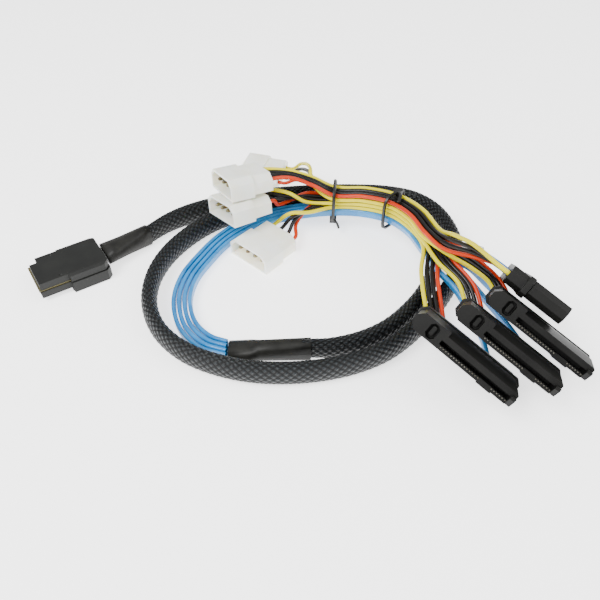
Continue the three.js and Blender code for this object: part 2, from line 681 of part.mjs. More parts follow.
// A tie: a strand round the whole bundle, its head, and its cut tail.
function buildTie(number, station, headSide, tail) {
  const middle = vec(BUNDLE[station].at).add(new THREE.Vector3(0, 0, TIE.rise));
  const across = vec(BUNDLE[station].across).normalize();
  const loop = [];
  for (let index = 0; index < TIE.steps; index += 1) {
    const angle = (2 * Math.PI * index) / TIE.steps;
    const c = Math.sign(Math.cos(angle)) * Math.abs(Math.cos(angle)) ** TIE.square;
    const s = Math.sign(Math.sin(angle)) * Math.abs(Math.sin(angle)) ** TIE.square;
    loop.push(middle.clone().addScaledVector(across, c * TIE.reachSide)
      .add(new THREE.Vector3(0, 0, s * TIE.reachUp)));
  }
  const strand = new THREE.TubeGeometry(
    new THREE.CatmullRomCurve3(loop, true), TIE.steps, TIE.strand, TIE.sides, true,
  );
  const head = new THREE.BoxGeometry(3.4, 3.4, 2.8);
  head.applyMatrix4(pose([0, 0, 0], [across.y, -across.x, 0], across.toArray()));
  const headAt = middle.clone().addScaledVector(across, headSide.across)
    .add(new THREE.Vector3(0, 0, headSide.up));
  head.translate(...headAt.toArray());
  const tailPoints = [headAt, ...tail.map((step) => headAt.clone().add(vec(step)))];
  const end = alongLine(tailPoints, ellipse(0.9, 0.6, 6), 6);
  add(`cable_tie_${number}`, geometryOf(join(solid(strand), solid(head), solid(end.geometry))),
    STUFF.tie);
}

// The bare wrap label on one data cable.
function buildLabel(line, at) {
  const span = LABEL.length / line.getLength();
  const points = [0, 0.25, 0.5, 0.75, 1].map((share) => line.getPointAt(at + share * span));
  const inner = DATA.width / 2 + LABEL.clearance;
  const section = ellipse(inner + LABEL.sheet, inner + LABEL.sheet, LABEL.sides);
  const hole = ellipse(inner, inner, LABEL.sides).getPoints().reverse();
  section.holes.push(new THREE.Path(hole));
  add("wrap_label", alongLine(points, section, 4).geometry, STUFF.label);
}

buildPlug();
POWER_POSES.forEach((matrix, index) => buildPowerPlug(index + 1, matrix));
SOCKET_POSES.forEach((matrix, index) => buildSocket(index + 1, matrix));
sleeveAndShrinks();
LEADS.forEach((lead, number) => {
  COLOURS.forEach((colour, rank) => {
    const route = wireRoute(lead, number, rank);
    const section = ellipse(WIRE.diameter / 2, WIRE.diameter / 2, WIRE.sides);
    const wire = alongLine(route, section, WIRE.steps);
    add(`wire_${number + 1}_${colour}`, wire.geometry, STUFF[colour.split("_")[0]]);
  });
});
const dataCables = [0, 1, 2, 3].map((number) => {
  const cord = alongLine(dataRoute(number), twinSection(), DATA.steps);
  add(`data_cable_${number + 1}`, cord.geometry, STUFF.blue);
  return cord;
});
buildLabel(dataCables[3].line, 0.9);
buildTie(1, 1, { across: -4.5, up: -8.6 }, [[2, -3, -0.6], [3, -5, -2.4]]);
buildTie(2, 3, { across: 3, up: 8.6 }, [[0.5, -4, 0.9], [-1, -9, 0.3]]);

export default cable;
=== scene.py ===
"""A mini SAS breakout cable on a pale table: a looped braided sleeve, blue data cables, power wires,
four drive sockets and four power plugs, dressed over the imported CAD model."""

import logging
import math
from dataclasses import dataclass
from enum import Enum
from typing import Callable, Sequence

import bmesh
import bpy
from mathutils import Matrix, Vector


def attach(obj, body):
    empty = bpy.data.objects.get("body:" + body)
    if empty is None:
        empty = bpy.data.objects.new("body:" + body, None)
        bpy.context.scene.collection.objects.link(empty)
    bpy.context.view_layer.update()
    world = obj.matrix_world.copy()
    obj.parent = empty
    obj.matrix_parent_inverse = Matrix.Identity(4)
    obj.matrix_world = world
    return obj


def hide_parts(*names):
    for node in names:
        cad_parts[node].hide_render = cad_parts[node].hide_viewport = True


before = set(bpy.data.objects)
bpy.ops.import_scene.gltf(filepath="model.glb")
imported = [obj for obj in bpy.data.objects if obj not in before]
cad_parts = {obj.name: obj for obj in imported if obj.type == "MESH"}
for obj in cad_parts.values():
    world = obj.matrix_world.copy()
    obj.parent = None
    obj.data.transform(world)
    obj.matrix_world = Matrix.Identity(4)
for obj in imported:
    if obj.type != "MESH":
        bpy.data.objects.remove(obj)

LOG = logging.getLogger("breakout_cable")
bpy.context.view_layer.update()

# The layout is drawn about the middle of the loop, and the origin is under the connectors' middle.
LAYOUT_SHIFT = Vector((0.005743, -0.020943, 0.0))
BODY = "cable"

# Where a Mix node of colours takes its two colours and gives the mixed one.
MIX_A, MIX_B, MIX_RESULT = 6, 7, 2

Point = tuple[float, float, float]
Colour = tuple[float, float, float, float]
# What a Math node's socket takes: another node's output or a plain number.
Feed = bpy.types.NodeSocket | float


def linear(red: int, green: int, blue: int) -> Colour:
    """A screen colour as the linear colour that a shader takes.

    Args:
        red: red from 0 to 255.
        green: green from 0 to 255.
        blue: blue from 0 to 255.

    Returns:
        The linear colour with an alpha of 1.
    """

    def channel(value: int) -> float:
        """One channel from 0 to 255, made linear."""
        share = value / 255.0
        return share / 12.92 if share <= 0.04045 else ((share + 0.055) / 1.055) ** 2.4

    return (channel(red), channel(green), channel(blue), 1.0)


class Insulation(Enum):
    """The colour of a power wire, from the 12 V side of its plug to the 5 V side."""

    YELLOW = "yellow"
    BLACK_A = "black_a"
    BLACK_B = "black_b"
    RED = "red"


# ---------------------------------------------------------------- finishes


def build_mottle_group() -> bpy.types.ShaderNodeTree:
    """Builds the group that gives moulded and extruded stuff its uneven colour, sheen and grain.

    Returns:
        A group with Scale, Tint A, Tint B, Rough Low, Rough High and Grain as its inputs, and
        Color, Roughness and Height as its outputs.
    """
    tree = bpy.data.node_groups.new("moulded_mottle", "ShaderNodeTree")
    io = tree.interface
    for label, kind in (
        ("Scale", "NodeSocketFloat"), ("Tint A", "NodeSocketColor"), ("Tint B", "NodeSocketColor"),
        ("Rough Low", "NodeSocketFloat"), ("Rough High", "NodeSocketFloat"),
        ("Grain", "NodeSocketFloat"),
    ):
        io.new_socket(name=label, in_out="INPUT", socket_type=kind)
    for label, kind in (
        ("Color", "NodeSocketColor"), ("Roughness", "NodeSocketFloat"), ("Height", "NodeSocketFloat"),
    ):
        io.new_socket(name=label, in_out="OUTPUT", socket_type=kind)
    nodes, links = tree.nodes, tree.links
    inputs, outputs = nodes.new("NodeGroupInput"), nodes.new("NodeGroupOutput")
    coordinates = nodes.new("ShaderNodeTexCoord")
    cloudy, grain = nodes.new("ShaderNodeTexNoise"), nodes.new("ShaderNodeTexNoise")
    cloudy.inputs["Detail"].default_value = 3.0
    grain.inputs["Detail"].default_value = 2.0
    links.new(coordinates.outputs["Object"], cloudy.inputs["Vector"])
    links.new(coordinates.outputs["Object"], grain.inputs["Vector"])
    links.new(inputs.outputs["Scale"], cloudy.inputs["Scale"])
    links.new(inputs.outputs["Grain"], grain.inputs["Scale"])
    spread = nodes.new("ShaderNodeMapRange")
    spread.inputs["From Min"].default_value = 0.35
    spread.inputs["From Max"].default_value = 0.65
    links.new(cloudy.outputs["Fac"], spread.inputs["Value"])
    colour = nodes.new("ShaderNodeMix")
    colour.data_type = "RGBA"
    links.new(spread.outputs["Result"], colour.inputs["Factor"])
    links.new(inputs.outputs["Tint A"], colour.inputs[MIX_A])
    links.new(inputs.outputs["Tint B"], colour.inputs[MIX_B])
    rough = nodes.new("ShaderNodeMapRange")
    links.new(cloudy.outputs["Fac"], rough.inputs["Value"])
    links.new(inputs.outputs["Rough Low"], rough.inputs["To Min"])
    links.new(inputs.outputs["Rough High"], rough.inputs["To Max"])
    links.new(colour.outputs[MIX_RESULT], outputs.inputs["Color"])
    links.new(rough.outputs["Result"], outputs.inputs["Roughness"])
    links.new(grain.outputs["Fac"], outputs.inputs["Height"])
    return tree


MOTTLE = build_mottle_group()


@dataclass(frozen=True)
class Moulded:
    """A moulded or extruded stuff with a slightly uneven colour and a fine grain.

    Attributes:
        name: the material's name.
        tint_a: its colour, linear.
        tint_b: the colour that it wanders to.
        rough: its lowest and highest roughness.
        mottle: scale of the uneven colour, per metre.
        grain: scale of the grain, per metre.
        depth: height of the grain, in metres.
        specular: level of the plain reflection.
        coat: weight of a clear top coat.
        through: weight of light that spreads below the surface.
        metallic: 1 for bare metal.
    """

    name: str
    tint_a: Colour
    tint_b: Colour
    rough: tuple[float, float] = (0.4, 0.5)
    mottle: float = 90.0
    grain: float = 2600.0
    depth: float = 0.00003
    specular: float = 0.5
    coat: float = 0.0
    through: float = 0.0
    metallic: float = 0.0

    def material(self) -> bpy.types.Material:
        """Builds the material once, and gives the same one after that.

        Returns:
            The material.
        """
        look = f"{self.name}_look"
        made = bpy.data.materials.get(look)
        if made:
            return made
        made = bpy.data.materials.new(look)
        made.use_nodes = True
        made.diffuse_color = self.tint_a
        nodes, links = made.node_tree.nodes, made.node_tree.links
        shader = nodes["Principled BSDF"]
        shader.inputs["Specular IOR Level"].default_value = self.specular
        shader.inputs["Coat Weight"].default_value = self.coat
        shader.inputs["Coat Roughness"].default_value = 0.12
        shader.inputs["Metallic"].default_value = self.metallic
        if self.through:
            shader.inputs["Subsurface Weight"].default_value = self.through
            shader.inputs["Subsurface Radius"].default_value = (0.004, 0.003, 0.002)
            shader.inputs["Subsurface Scale"].default_value = 1.0
        group = nodes.new("ShaderNodeGroup")
        group.node_tree = MOTTLE
        group.inputs["Scale"].default_value = self.mottle
        group.inputs["Tint A"].default_value = self.tint_a
        group.inputs["Tint B"].default_value = self.tint_b
        group.inputs["Rough Low"].default_value = self.rough[0]
        group.inputs["Rough High"].default_value = self.rough[1]
        group.inputs["Grain"].default_value = self.grain
        links.new(group.outputs["Color"], shader.inputs["Base Color"])
        links.new(group.outputs["Roughness"], shader.inputs["Roughness"])
        bump = nodes.new("ShaderNodeBump")
        bump.inputs["Strength"].default_value = 0.6
        bump.inputs["Distance"].default_value = self.depth
        links.new(group.outputs["Height"], bump.inputs["Height"])
        links.new(bump.outputs["Normal"], shader.inputs["Normal"])
        return made


PLUG_BLACK = Moulded(
    "plug_black", linear(15, 16, 15), linear(23, 24, 22), (0.45, 0.62), depth=0.00006, specular=0.3,
)
SOCKET_BLACK = Moulded(
    "socket_black", linear(8, 8, 7), linear(14, 14, 12), (0.4, 0.56), specular=0.22,
)
NATURAL_NYLON = Moulded(
    "natural_nylon", linear(248, 248, 238), linear(240, 239, 224), (0.28, 0.42), through=0.6,
)
TINNED_BRASS = Moulded(
    "tinned_brass", linear(150, 140, 112), linear(112, 102, 78), (0.25, 0.4), metallic=1.0,
)
CONTACT_TIN = Moulded(
    "contact_tin", linear(150, 148, 138), linear(118, 114, 104), (0.3, 0.45), metallic=1.0,
)
SPRING_STEEL = Moulded(
    "spring_steel", linear(190, 194, 198), linear(170, 174, 178), (0.25, 0.4), metallic=1.0,
)
CARD_GREEN = Moulded("card_green", linear(70, 66, 34), linear(86, 78, 38), (0.3, 0.4), coat=0.4)
SHRINK_BLACK = Moulded(
    "shrink_black", linear(16, 16, 14), linear(28, 28, 25), (0.42, 0.6), mottle=200.0, depth=0.00012,
    grain=900.0, specular=0.25,
)
TIE_BLACK = Moulded("tie_black", linear(18, 18, 17), linear(28, 28, 26), (0.35, 0.5), specular=0.4)
LABEL_WHITE = Moulded("label_white", linear(234, 239, 243), linear(222, 228, 234), (0.4, 0.5))
DATA_BLUE = Moulded(
    "data_blue", linear(22, 112, 174), linear(46, 134, 196), (0.22, 0.34), coat=0.25, specular=0.35,
    depth=0.00004, grain=1200.0,
)
WIRE_BLACK = Moulded(
    "wire_black", linear(12, 10, 9), linear(19, 16, 14), (0.28, 0.42), specular=0.3,
)
WIRE_FINISH = {
    Insulation.YELLOW: Moulded(
        "wire_yellow", linear(214, 200, 0), linear(224, 212, 0), (0.3, 0.42), specular=0.25,
    ),
    Insulation.BLACK_A: WIRE_BLACK,
    Insulation.BLACK_B: WIRE_BLACK,
    Insulation.RED: Moulded(
        "wire_red", linear(186, 44, 8), linear(198, 56, 12), (0.3, 0.42), specular=0.25,
    ),
}


# A strand's cross-section rises with this power of a sine, and its threads ripple by this share.
STRAND_ROUNDNESS = 0.6
THREAD_RIPPLE = 0.14
# The painted glint sits on the crowns: what is left of the strands' height raised to this power.
GLINT_FOCUS = 5.0


def build_plait_group() -> bpy.types.ShaderNodeTree:
    """Builds the group that plaits two sets of strands over and under each other on a UV map.

    Returns:
        A group with Along, Around, Lays, Strands and Threads as its inputs, and Lift and a mask of the
        crowns for a painted glint as its outputs: Lift is 0 in the gaps and 1 on the crowns, and the
        mask marks the crowns alone.
    """
    tree = bpy.data.node_groups.new("plaited_strands", "ShaderNodeTree")
    io = tree.interface
    for label in ("Along", "Around", "Lays", "Strands", "Threads"):
        io.new_socket(name=label, in_out="INPUT", socket_type="NodeSocketFloat")
    for label in ("Lift", "Glint Mask"):
        io.new_socket(name=label, in_out="OUTPUT", socket_type="NodeSocketFloat")
    nodes, links = tree.nodes, tree.links
    inputs, outputs = nodes.new("NodeGroupInput"), nodes.new("NodeGroupOutput")

    def maths(operation: str, first: Feed, second: Feed = 0.0) -> bpy.types.NodeSocket:
        """Adds a Math node.

        Args:
            operation: the node's operation.
            first: what feeds its first socket.
            second: what feeds its second socket.

        Returns:
            The node's output.
        """
        node = nodes.new("ShaderNodeMath")
        node.operation = operation
        for socket, value in zip(node.inputs, (first, second)):
            if isinstance(value, (int, float)):
                socket.default_value = value
            else:
                links.new(value, socket)
        return node.outputs[0]

    along = maths("MULTIPLY", inputs.outputs["Along"], inputs.outputs["Lays"])
    around = maths("MULTIPLY", inputs.outputs["Around"], inputs.outputs["Strands"])
    first, second = maths("ADD", along, around), maths("SUBTRACT", along, around)
    humps = []
    for turn in (first, second):
        part = maths("MULTIPLY", maths("FRACT", turn), math.pi)
        humps.append(maths("POWER", maths("SINE", part), STRAND_ROUNDNESS))
    over = maths("PINGPONG", maths("ADD", maths("FLOOR", first), maths("FLOOR", second)), 1.0)
    thread = nodes.new("ShaderNodeMix")
    links.new(over, thread.inputs["Factor"])
    for turn, socket in ((first, thread.inputs[2]), (second, thread.inputs[3])):
        count = maths("MULTIPLY", turn, inputs.outputs["Threads"])
        links.new(maths("SINE", maths("MULTIPLY", count, 2.0 * math.pi)), socket)
    body = maths("MULTIPLY", humps[0], humps[1])
    ripple = maths("MULTIPLY", maths("MULTIPLY", thread.outputs[0], THREAD_RIPPLE), body)
    links.new(maths("ADD", body, ripple), outputs.inputs["Lift"])
    links.new(maths("POWER", body, GLINT_FOCUS), outputs.inputs["Glint Mask"])
    return tree


PLAIT = build_plait_group()


@dataclass(frozen=True)
class Braid:
    """The sleeve's plaited black monofilament, on its own UV map.

    Attributes:
        strands: strands round the sleeve, each way.
        lays: turns of a strand along the whole sleeve.
        name: the material's name.
        threads: threads side by side in one strand.
        depth: height of the strands in the bump, in metres.
    """

    strands: int
    lays: float
    name: str = "black_braid"
    threads: float = 3.0
    depth: float = 0.0004

    def material(self) -> bpy.types.Material:
        """Builds the material: dark filaments with painted shade in the gaps, and crowns made glossy
        by a lower roughness and lit by a painted glint.

        Returns:
            The material.
        """
        made = bpy.data.materials.new(self.name)
        made.use_nodes = True
        made.diffuse_color = linear(24, 28, 29)
        nodes, links = made.node_tree.nodes, made.node_tree.links
        shader = nodes["Principled BSDF"]
        shader.inputs["Specular IOR Level"].default_value = 0.25
        shader.inputs["Coat Weight"].default_value = 0.1
        shader.inputs["Coat Roughness"].default_value = 0.22
        uv = nodes.new("ShaderNodeUVMap")
        uv.uv_map = "UVMap"
        parts = nodes.new("ShaderNodeSeparateXYZ")
        links.new(uv.outputs["UV"], parts.inputs["Vector"])
        plait = nodes.new("ShaderNodeGroup")
        plait.node_tree = PLAIT
        links.new(parts.outputs["X"], plait.inputs["Along"])
        links.new(parts.outputs["Y"], plait.inputs["Around"])
        plait.inputs["Lays"].default_value = self.lays
        plait.inputs["Strands"].default_value = self.strands
        plait.inputs["Threads"].default_value = self.threads
        bump = nodes.new("ShaderNodeBump")
        bump.inputs["Strength"].default_value = 1.0
        bump.inputs["Distance"].default_value = self.depth
        links.new(plait.outputs["Lift"], bump.inputs["Height"])
        links.new(bump.outputs["Normal"], shader.inputs["Normal"])
        # Painted shade: the colour darkens from the strands into the gaps between them, following
        # Lift.
        body = nodes.new("ShaderNodeMix")
        body.data_type = "RGBA"
        body.inputs[MIX_A].default_value = linear(2, 3, 3)
        body.inputs[MIX_B].default_value = linear(11, 13, 14)
        links.new(plait.outputs["Lift"], body.inputs["Factor"])
        # Painted glint: a pale bluish colour laid over the crowns of the strands, on top of their real
        # gloss.
        crown = nodes.new("ShaderNodeMix")
        crown.data_type = "RGBA"
        crown.inputs[MIX_B].default_value = linear(30, 37, 41)
        links.new(plait.outputs["Glint Mask"], crown.inputs["Factor"])
        links.new(body.outputs[MIX_RESULT], crown.inputs[MIX_A])
        links.new(crown.outputs[MIX_RESULT], shader.inputs["Base Color"])
        rough = nodes.new("ShaderNodeMapRange")
        rough.inputs["To Min"].default_value = 0.75
        rough.inputs["To Max"].default_value = 0.3
        links.new(plait.outputs["Lift"], rough.inputs["Value"])
        links.new(rough.outputs["Result"], shader.inputs["Roughness"])
        return made


# ---------------------------------------------------------------- lines and frames


def pose(at: Point, first: Point, second: Point) -> Matrix:
    """A frame from an origin in the layout and its first two axes, squared up to each other.

    Args:
        at: the origin, in metres, in the layout.
        first: the X axis, of any length.
        second: the Y axis, about square to the first.

    Returns:
        The frame as a matrix, in the row frame.
    """
    x = Vector(first).normalized()
    y = Vector(second)
    y = (y - x * y.dot(x)).normalized()
    z = x.cross(y)
    matrix = Matrix((x, y, z)).transposed().to_4x4()
    matrix.translation = Vector(at) + LAYOUT_SHIFT
    return matrix


class SmoothLine:
    """A smooth line through points, spaced evenly, with a frame that doesn't twist along it."""

    SPAN_STEPS = 24

    def __init__(self, points: Sequence[Vector], rings: int) -> None:
        """Samples the line.

        Args:
            points: the points it goes through, in the row frame.
            rings: how many steps it is cut into.
        """
        dense: list[Vector] = []
        for index in range(len(points) - 1):
            dense.extend(
                self._span(points, index, step / self.SPAN_STEPS) for step in range(self.SPAN_STEPS)
            )
        dense.append(points[-1].copy())
        self.length = sum((b - a).length for a, b in zip(dense, dense[1:]))
        self.points = self._even(dense, rings)
        self.tangents = self._tangents()
        self.normals, self.sides = self._frames()

    @staticmethod
    def _span(points: Sequence[Vector], index: int, share: float) -> Vector:
        """A place between two points on a centripetal Catmull-Rom line.

        Args:
            points: all the points.
            index: the point before the place.
            share: how far it is to the next point, from 0 to 1.

        Returns:
            The place.
        """
        b, c = points[index], points[index + 1]
        a = points[index - 1] if index > 0 else 2.0 * b - c
        d = points[index + 2] if index + 2 < len(points) else 2.0 * c - b
        da, db, dc = ((q - p).length ** 0.5 for p, q in ((a, b), (b, c), (c, d)))
        start = ((b - a) / da - (c - a) / (da + db) + (c - b) / db) * db
        end = ((c - b) / db - (d - b) / (db + dc) + (d - c) / dc) * db
        square, cube = share * share, share ** 3
        return (
            b + start * share + (3.0 * (c - b) - 2.0 * start - end) * square
            + (2.0 * (b - c) + start + end) * cube
        )

    @staticmethod
    def _even(dense: Sequence[Vector], rings: int) -> list[Vector]:
        """Spaces a dense line's points evenly.

        Args:
            dense: the dense line.
            rings: how many steps to cut it into.

        Returns:
            One point more than there are steps.
        """
        reach = [0.0]
        for a, b in zip(dense, dense[1:]):
            reach.append(reach[-1] + (b - a).length)
        even, at = [], 0
        for ring in range(rings + 1):
            goal = reach[-1] * ring / rings
            while at + 2 < len(reach) and reach[at + 1] < goal:
                at += 1
            gap = reach[at + 1] - reach[at]
            even.append(dense[at].lerp(dense[at + 1], min(1.0, (goal - reach[at]) / gap)))
        return even

    def _tangents(self) -> list[Vector]:
        """The way the line runs at each of its points."""
        last = len(self.points) - 1
        return [
            (self.points[min(last, i + 1)] - self.points[max(0, i - 1)]).normalized()
            for i in range(last + 1)
        ]

    def _frames(self) -> tuple[list[Vector], list[Vector]]:
        """Two axes square to the line at each point. The first starts upright."""
        way = self.tangents[0]
        normal = way.cross(way.cross(Vector((0.0, 0.0, 1.0))).normalized())
        normals = [normal]
        for before, after in zip(self.tangents, self.tangents[1:]):
            turn = before.rotation_difference(after)
            normal = (turn @ normal).normalized()
            normals.append(normal.copy())
        sides = [way.cross(normal) for way, normal in zip(self.tangents, normals)]
        return normals, sides


def ride_and_link(name: str, data: "bpy.types.Mesh | bpy.types.Curve") -> bpy.types.Object:
    """Puts new data in the scene as a piece that rides on the cable.

    Args:
        name: the piece's name.
        data: its mesh or curve.

    Returns:
        The object.
    """
    piece = bpy.data.objects.new(name, data)
    bpy.context.scene.collection.objects.link(piece)
    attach(piece, BODY)
    return piece


def finish_mesh(
    name: str, shape: bmesh.types.BMesh, finish: bpy.types.Material, angle: float = 35.0,
) -> bpy.types.Object:
    """Turns a bmesh into a shaded piece.

    Args:
        name: the piece's name.
        shape: the bmesh, which is freed.
        finish: its material.
        angle: edges sharper than this, in degrees, stay crisp.

    Returns:
        The object.
    """
    mesh = bpy.data.meshes.new(name)
    shape.to_mesh(mesh)
    shape.free()
    mesh.materials.append(finish)
    mesh.shade_smooth()
    mesh.set_sharp_from_angle(angle=math.radians(angle))
    return ride_and_link(name, mesh)


def sweep(
    line: SmoothLine, sides: int, outline: Callable[[float, float], tuple[float, float]],
) -> bmesh.types.BMesh:
    """Draws a closed section along a line, starting from a flat grid that is wrapped round it.

    Args:
        line: the line.
        sides: faces round the section.
        outline: gives the section's two offsets for a share of the length and a share of the turn.

    Returns:
        The closed tube, with its UV map: X along it and Y round it.
    """
    shape = bmesh.new()
    shape.loops.layers.uv.new("UVMap")
    rings = len(line.points) - 1
    bmesh.ops.create_grid(shape, x_segments=rings, y_segments=sides, size=0.5, calc_uvs=True)
    for vert in shape.verts:
        along, turn = vert.co.x + 0.5, vert.co.y + 0.5
        ring = round(along * rings)
        u, v = outline(along, turn % 1.0)
        vert.co = line.points[ring] + line.normals[ring] * u + line.sides[ring] * v
    bmesh.ops.remove_doubles(shape, verts=shape.verts, dist=1e-6)
    bmesh.ops.holes_fill(shape, edges=[edge for edge in shape.edges if edge.is_boundary], sides=0)
    bmesh.ops.recalc_face_normals(shape, faces=shape.faces)
    return shape


# Facets flatter than this are one face, edges sharper than this are rounded, and edges sharper
# than the last stay crisp, in degrees.
FLAT_ANGLE, ROUNDED_ANGLE, CRISP_ANGLE = 1.0, 28.0, 40.0
# How much a large face outweighs a small one where they share a corner's shading.
FACE_WEIGHT = 60


@dataclass
class SoftenedNode:
    """A CAD node's own shape with its sharp edges rounded, standing for that node.

    Attributes:
        node: the CAD node.
        finish: its finish.
        slot: the record's material slot; not used.
        edge: how far its edges are rounded, in metres. At 0 they stay as they are.
        body: the CAD body it rides on.
    """

    node: str
    finish: Moulded
    slot: str
    edge: float = 0.0002
    body: str = BODY

    def build(self) -> bpy.types.Object:
        """Copies the node's mesh, merges and bevels it, and hides the node.

        Returns:
            The piece.
        """
        shape = bmesh.new()
        shape.from_mesh(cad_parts[self.node].data)
        bmesh.ops.remove_doubles(shape, verts=shape.verts, dist=1e-6)
        bmesh.ops.dissolve_limit(
            shape, angle_limit=math.radians(FLAT_ANGLE), verts=shape.verts, edges=shape.edges,
        )
        if self.edge > 0:
            sharp = [
                edge for edge in shape.edges
                if edge.is_manifold and edge.calc_face_angle(0.0) > math.radians(ROUNDED_ANGLE)
                and edge.calc_length() > 2.0 * self.edge
            ]
            bmesh.ops.bevel(
                shape, geom=sharp, offset=self.edge, offset_type="OFFSET", segments=2, profile=0.5,
                affect="EDGES", clamp_overlap=True, material=-1,
            )
        bmesh.ops.triangulate(shape, faces=[face for face in shape.faces if len(face.verts) > 4])
        piece = finish_mesh(f"{self.node}_skin", shape, self.finish.material(), CRISP_ANGLE)
        if self.edge > 0:
            flat = piece.modifiers.new("flat_faces", "WEIGHTED_NORMAL")
            flat.keep_sharp = True
            flat.weight = FACE_WEIGHT
        if self.body != BODY:
            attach(piece, self.body)
        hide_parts(self.node)
        return piece


# ---------------------------------------------------------------- the cable's parts


@dataclass
class HostPlug:
    """The mini SAS plug: two shell halves, the card in its mouth and the latch under it.

    Attributes:
        edge: how far the shells' edges are rounded, in metres.
        thin_edge: the same for the card and the latch.
    """

    edge: float = 0.0004
    thin_edge: float = 0.0001

    def build(self) -> None:
        """Dresses the plug's four nodes."""
        SoftenedNode("plug_upper_shell", PLUG_BLACK, "plug_plastic", self.edge).build()
        SoftenedNode("plug_lower_shell", PLUG_BLACK, "plug_plastic", self.edge).build()
        SoftenedNode("plug_paddle_card", CARD_GREEN, "card", self.thin_edge).build()
        SoftenedNode("plug_latch", SPRING_STEEL, "spring_steel", self.thin_edge, "latch").build()
        LOG.info("host plug: shells, card and latch")


@dataclass
class PowerPlug:
    """A 4-pin power plug: its milky housing and four pins.

    Attributes:
        number: from 1 to 4.
        edge: how far the housing's edges are rounded, in metres.
        pin_edge: the same for a pin.
    """

    number: int
    edge: float = 0.0003
    pin_edge: float = 0.0001

    def build(self) -> None:
        """Dresses the housing and its pins."""
        SoftenedNode(f"power_plug_{self.number}", NATURAL_NYLON, "natural_plastic", self.edge).build()
        for pin in range(1, 5):
            name = f"power_pin_{self.number}_{pin}"
            SoftenedNode(name, TINNED_BRASS, "tinned_pin", self.pin_edge).build()
        LOG.info("power plug %d: housing and pins", self.number)


@dataclass
class DriveSocket:
    """A 29-contact drive socket: its shell, its hood and the contacts' tips in the comb.

    Attributes:
        number: from 1 to 4.
        edge: how far the shell's edges are rounded, in metres.
        hood_edge: the same for the hood.
        comb_start: where the comb's slot starts along the socket.
        lead_in: pitches from there to the first contact.
        pitch: from one contact to the next.
        counts: power contacts, then signal contacts.
        gap: from the last power contact to the first signal contact.
        contact: a contact's width, height and length.
        contact_middle: its middle from its relief's corner, in the socket's frame.
    """

    number: int
    edge: float = 0.00022
    hood_edge: float = 0.0004
    comb_start: float = 0.0134
    lead_in: float = 0.8
    pitch: float = 0.00127
    counts: tuple[int, int] = (15, 7)
    gap: float = 0.00635
    contact: tuple[float, float, float] = (0.00044, 0.0005, 0.005)
    contact_middle: tuple[float, float, float] = (0.00031, 0.0022, -0.0029)

    def build(self) -> None:
        """Dresses the shell and the hood, and sets the contacts in the comb."""
        SoftenedNode(f"drive_socket_{self.number}", SOCKET_BLACK, "socket_plastic", self.edge).build()
        hood = f"socket_hood_{self.number}"
        SoftenedNode(hood, SOCKET_BLACK, "socket_plastic", self.hood_edge).build()
        self._contacts()
        LOG.info("drive socket %d: shell, hood and contacts", self.number)

    def _contacts(self) -> None:
        """A tinned contact in each relief of the comb."""
        shape = bmesh.new()
        start = self.comb_start + self.lead_in * self.pitch
        for count in self.counts:
            for index in range(count):
                at = Vector(self.contact_middle) + Vector((start + index * self.pitch, 0.0, 0.0))
                stretch = Matrix.Diagonal((*self.contact, 1.0))
                bmesh.ops.create_cube(shape, size=1.0, matrix=Matrix.Translation(at) @ stretch)
            start += (count - 1) * self.pitch + self.gap
        bmesh.ops.transform(shape, matrix=SOCKET_POSES[self.number - 1], verts=shape.verts)
        row = finish_mesh(f"socket_contacts_{self.number}", shape, CONTACT_TIN.material())


# Where each power plug lies: its mouth corner on the near side, its way back and its width.
POWER_POSES = (
    pose((-0.0167, 0.0174, 0.0), (0.668, 0.745, 0.0), (-0.745, 0.668, 0.0)),
    pose((-0.0319, 0.0316, 0.0182), (0.8, 0.59, -0.1), (-0.6, 0.77, -0.2)),
    pose((-0.0358, 0.092, 0.0), (0.96, -0.28, 0.0), (0.28, 0.96, 0.0)),
    pose((-0.0329, 0.0382, 0.0286), (0.87, 0.48, -0.08), (-0.55, 0.81, -0.2)),
)
LEAN_WIDTH = (0.751, -0.571, -0.331)
LEAN_UP = (0.596, 0.372, 0.711)
LEAN_BACK = (0.283, 0.732, -0.62)
# Where each drive socket lies: its power corner, its width and its thickness.
SOCKET_POSES = (
    pose((0.0413, -0.0463, 0.0315), LEAN_WIDTH, LEAN_UP),
    pose((0.0593, -0.0416, 0.0315), LEAN_WIDTH, LEAN_UP),
    pose((0.0736, -0.034, 0.0315), LEAN_WIDTH, LEAN_UP),
    pose((0.101, -0.044, 0.029), LEAN_BACK, LEAN_UP),
)


